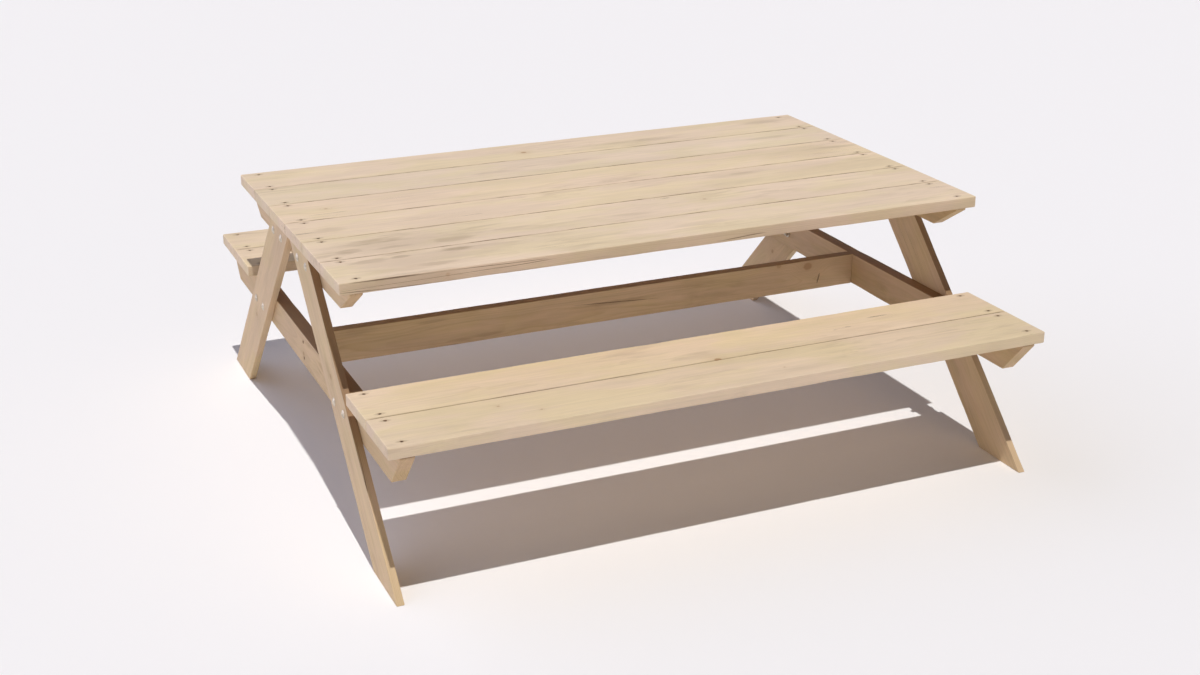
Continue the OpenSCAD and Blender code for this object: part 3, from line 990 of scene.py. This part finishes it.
def screw_template(length_of, head_d, sides):
    """Countersunk screw pointing down, with a six-lobed drive and a thread on its lower part."""
    metal = settings().fasteners
    head_r, shank_r = head_d / 2, head_d / 4
    land = metal.head_land
    cone_h = head_r - shank_r
    crest, depth = metal.thread_pitch, metal.thread_depth
    profile = [(0, 0), (head_r - land, 0), (head_r, -land / 2), (shank_r, -cone_h - land / 2),
               (shank_r, -length_of * PLAIN_SHANK)]
    height = -length_of * PLAIN_SHANK - depth
    while height - crest > -length_of + 2 * shank_r:
        profile += [(shank_r - depth, height), (shank_r, height - crest / 2)]
        height -= crest
    profile += [(shank_r - depth, height), (0, -length_of)]
    mesh = bmesh.new()
    lathe(mesh, profile, sides)
    piece = metal_object(mesh, SCREW_STEEL)
    drive = bmesh.new()
    bmesh.ops.create_circle(drive, cap_ends=True, segments=36, radius=head_r * 0.44)
    for vert in drive.verts:
        vert.co *= 1 + 0.14 * math.cos(6 * math.atan2(vert.co.y, vert.co.x))
    pull_out(drive, drive.faces[:], (0, 0, -cone_h * 0.85 - 1 * MM))
    bmesh.ops.translate(drive, verts=drive.verts, vec=(0, 0, 1 * MM))
    carve(piece, drive)
    return piece


def bolt_template(head_d, head_h, length_of, shank_d, neck_h):
    """Cup-head bolt: low dome, square neck, shank and a threaded, chamfered end."""
    metal = settings().fasteners
    dome_r = ((head_d / 2) ** 2 + head_h ** 2) / (2 * head_h)
    opening = math.asin(head_d / 2 / dome_r)
    turns = [opening * step / DOME_STEPS for step in range(DOME_STEPS)]
    shank_r = shank_d / 2
    pitch = metal.bolt_thread_pitch
    depth = pitch * 0.55
    height = -length_of + BOLT_THREAD_LENGTH
    profile = [(dome_r * math.sin(turn), head_h - dome_r + dome_r * math.cos(turn)) for turn in turns]
    profile += [(head_d / 2 - 0.3 * MM, 0.5 * MM), (head_d / 2 - 0.6 * MM, 0),
                (shank_r, 0), (shank_r, height)]
    while height > -length_of + BOLT_END:
        profile += [(shank_r - depth, height - pitch / 2), (shank_r, height - pitch)]
        height -= pitch
    profile += [(shank_r - depth, -length_of), (0, -length_of)]
    mesh = bmesh.new()
    lathe(mesh, profile, metal.round_sides)
    piece = metal_object(mesh, ZINC_PLATE)
    neck = bmesh.new()
    bmesh.ops.create_cube(neck, size=1.0)
    bmesh.ops.scale(neck, vec=(shank_d, shank_d, neck_h), verts=neck.verts)
    bmesh.ops.translate(neck, vec=(0, 0, 0.2 * MM - neck_h / 2), verts=neck.verts)
    bmesh.ops.bevel(neck, geom=neck.edges[:], offset=0.6 * MM, offset_type="OFFSET", segments=2,
                    profile=0.5, affect="EDGES", material=-1)
    carve(piece, neck, "UNION")
    return piece


def washer_template(outer_d, inner_d, thick):
    ease = thick * 0.18
    inner_r, outer_r = inner_d / 2, outer_d / 2
    mesh = bmesh.new()
    lathe(mesh, [(inner_r, 0), (outer_r - ease, 0), (outer_r, ease), (outer_r, thick - ease),
                 (outer_r - ease, thick), (inner_r + ease, thick), (inner_r, thick - ease)],
          settings().fasteners.round_sides, closed=True)
    return metal_object(mesh, ZINC_PLATE)


def nut_template(across_flats, bore_d, thick):
    """Hexagon nut with its corners turned off and a countersunk bore."""
    sides = settings().fasteners.round_sides
    corner_r = across_flats / 2 / math.cos(math.radians(30))
    mesh = bmesh.new()
    bmesh.ops.create_circle(mesh, cap_ends=True, segments=6, radius=corner_r)
    pull_out(mesh, mesh.faces[:], (0, 0, thick))
    piece = metal_object(mesh, ZINC_PLATE)
    flat_r = across_flats / 2 * 0.96
    drop = (corner_r - flat_r) * 0.5
    over, ease = 1 * MM, 0.8 * MM
    turned = bmesh.new()
    lathe(turned, [(0, -TOUCH), (flat_r, -TOUCH), (corner_r + over, drop + over * 0.5),
                   (corner_r + over, thick - drop - over * 0.5), (flat_r, thick + TOUCH),
                   (0, thick + TOUCH)], sides)
    carve(piece, turned, "INTERSECT")
    bore = bmesh.new()
    bore_r = bore_d / 2
    lathe(bore, [(0, -over), (bore_r + ease + over, -over), (bore_r, ease), (bore_r, thick - ease),
                 (bore_r + ease + over, thick + over), (0, thick + over)], sides)
    carve(piece, bore)
    return piece


def fasten(template, places, name, slot, node):
    """Joins copies of a template into one finished piece and removes the template."""
    piece = object_from(copies(template.data, places), name, template.data.materials[0])
    discard(template)
    tidy_shading(piece)
    finish_piece(piece, slot, node)


class PICNIC_OT_screws(bpy.types.Operator):
    """Build all the countersunk screws"""

    bl_idname = "picnic.screws"
    bl_label = "Screws"

    def execute(self, context):
        metal = settings().fasteners
        metal_material(SCREW_STEEL, metal.screw_steel, metal.screw_rust, 0.75, 0.42, 0.75, 260)
        chance = random.Random(5)
        for node in ("tabletop_screws", "front_bench_screws", "rear_bench_screws", "stretcher_screws"):
            axis_of = outward if node == "stretcher_screws" else straight_up
            boxes = solid_boxes(node)
            length_of, head_d, _ = screw_size(*boxes[-1], axis_of(*boxes[-1]))
            fasten(screw_template(length_of, head_d, 28), screw_places(boxes, axis_of, chance),
                   node + "_steel", "screw_steel", node)
        return {"FINISHED"}


class PICNIC_OT_bolts(bpy.types.Operator):
    """Build the bolts, washers and nuts that hold the legs"""

    bl_idname = "picnic.bolts"
    bl_label = "Bolts, washers and nuts"

    def execute(self, context):
        metal = settings().fasteners
        metal_material(ZINC_PLATE, metal.zinc, metal.zinc_dull, 0.7, 0.28, 0.55, 140)
        leg_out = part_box("front_right_leg")[1].x
        chance = random.Random(8)
        for joint in ("batten", "bearer"):
            boxes = {kind: solid_boxes(f"{joint}_{kind}") for kind in ("bolts", "washers", "nuts")}
            bolt, washer, nut = [found[0][1] - found[0][0] for found in boxes.values()]
            head_h = boxes["bolts"][-1][1].x - leg_out
            shank_d = bolt.z * 0.4
            templates = {"bolts": bolt_template(bolt.z, head_h, bolt.x - head_h, shank_d, shank_d * 0.6),
                         "washers": washer_template(washer.z, shank_d * 1.08, washer.x),
                         "nuts": nut_template(nut.y, shank_d * 1.01, nut.x)}
            for kind, template in templates.items():
                places = []
                for low, high in boxes[kind]:
                    axis = outward(low, high)
                    seat = (low + high) / 2
                    inner_x = low.x if axis.x > 0 else high.x
                    seat.x = leg_out * axis.x if kind == "bolts" else inner_x
                    spin = chance.uniform(0, math.tau) if kind == "nuts" else 0.0
                    places.append(Matrix.Translation(seat) @ turned_to(axis, spin))
                node = f"{joint}_{kind}"
                fasten(template, places, node + "_zinc", "zinc_steel", node)
        return {"FINISHED"}


# ---- stage

def linked(name, data, place):
    """A new object at a place in the scene."""
    made = bpy.data.objects.new(name, data)
    made.location = place
    bpy.context.scene.collection.objects.link(made)
    return made


def lamp(name, travel, tone, strength, softness):
    """A far lamp whose light travels one way everywhere."""
    light = bpy.data.lights.new(name, "SUN")
    light.color = tone
    light.energy = strength
    light.angle = softness
    made = linked(name, light, -4.0 * Vector(travel))
    made.rotation_euler = Vector(travel).to_track_quat("-Z", "Y").to_euler()


class PICNIC_OT_stage(bpy.types.Operator):
    """Build the floor, the light and the camera"""

    bl_idname = "picnic.stage"
    bl_label = "Floor, light and camera"

    def execute(self, context):
        stage = settings().stage
        scene = context.scene
        material, net, shader = new_material("pale floor")
        grit = net.noise(net.node("TexCoord").outputs["Object"], (300, 300, 300))["Fac"]
        net.feed(shader, {"Base Color": opaque(stage.floor_colour), "Specular IOR Level": 0.1,
                          "Roughness": net.ramp(grit, 0.3, 0.7, 0.85, 0.95)})
        mesh = bmesh.new()
        bmesh.ops.create_grid(mesh, x_segments=1, y_segments=1, size=stage.floor_size / 2)
        floor = object_from(mesh, "floor", material)

        # A pale surround that fades upwards
        scene.world = bpy.data.worlds.new("soft fill")
        scene.world.use_nodes = True
        sky = Net(scene.world.node_tree)
        rise = sky.parts(sky.node("TexCoord").outputs["Generated"])["Z"]
        level = sky.power(sky.least(sky.minus(1.0, rise), 1.0), stage.sky_fall)
        sky.feed(sky.tree.nodes["Background"], {"Color": opaque(stage.sky_colour),
                                                "Strength": sky.times(level, stage.sky_strength)})

        lamp("key", (*stage.key_slope, -1.0), stage.key_colour, stage.key_strength, stage.key_softness)
        lamp("side", stage.side_travel, stage.side_colour, stage.side_strength, stage.side_softness)

        lens = bpy.data.cameras.new("camera")
        lens.sensor_width = 36.0
        lens.lens = stage.camera_lens
        lens.clip_end = 200.0
        camera = linked("camera", lens, stage.camera_place)
        camera.rotation_euler = (math.pi / 2 - stage.camera_dip, 0.0, -stage.camera_turn)
        scene.camera = camera
        scene.view_settings.view_transform = "Standard"
        scene.view_settings.look = "None"
        return {"FINISHED"}


# ---- panel and main

class PICNIC_PT_panel(bpy.types.Panel):
    """Picnic table tools"""

    bl_idname = "PICNIC_PT_panel"
    bl_label = "Picnic table"
    bl_space_type = "VIEW_3D"
    bl_region_type = "UI"
    bl_category = "Picnic table"

    def draw(self, context):
        for operator in OPERATORS:
            self.layout.operator(operator.bl_idname)
        table = settings()
        for group in (table.timber, table.fasteners, table.stage):
            box = self.layout.box()
            for key in group.bl_rna.properties.keys():
                if key not in {"rna_type", "name"}:
                    box.prop(group, key)


OPERATORS = (
    PICNIC_OT_tabletop,
    PICNIC_OT_benches,
    PICNIC_OT_battens,
    PICNIC_OT_bearers,
    PICNIC_OT_legs,
    PICNIC_OT_stretcher,
    PICNIC_OT_screws,
    PICNIC_OT_bolts,
    PICNIC_OT_stage,
)
CLASSES = (TimberSettings, FastenerSettings, StageSettings, PicnicTableSettings, *OPERATORS, PICNIC_PT_panel)


def register():
    for entry in CLASSES:
        bpy.utils.register_class(entry)
    bpy.types.Scene.picnic_table = PointerProperty(type=PicnicTableSettings)


def unregister():
    del bpy.types.Scene.picnic_table
    for entry in reversed(CLASSES):
        bpy.utils.unregister_class(entry)


def main():
    register()
    bpy.ops.picnic.stage()
    bpy.ops.picnic.tabletop()
    bpy.ops.picnic.benches()
    bpy.ops.picnic.battens()
    bpy.ops.picnic.bearers()
    bpy.ops.picnic.legs()
    bpy.ops.picnic.stretcher()
    bpy.ops.picnic.screws()
    bpy.ops.picnic.bolts()


if __name__ == "__main__":
    main()
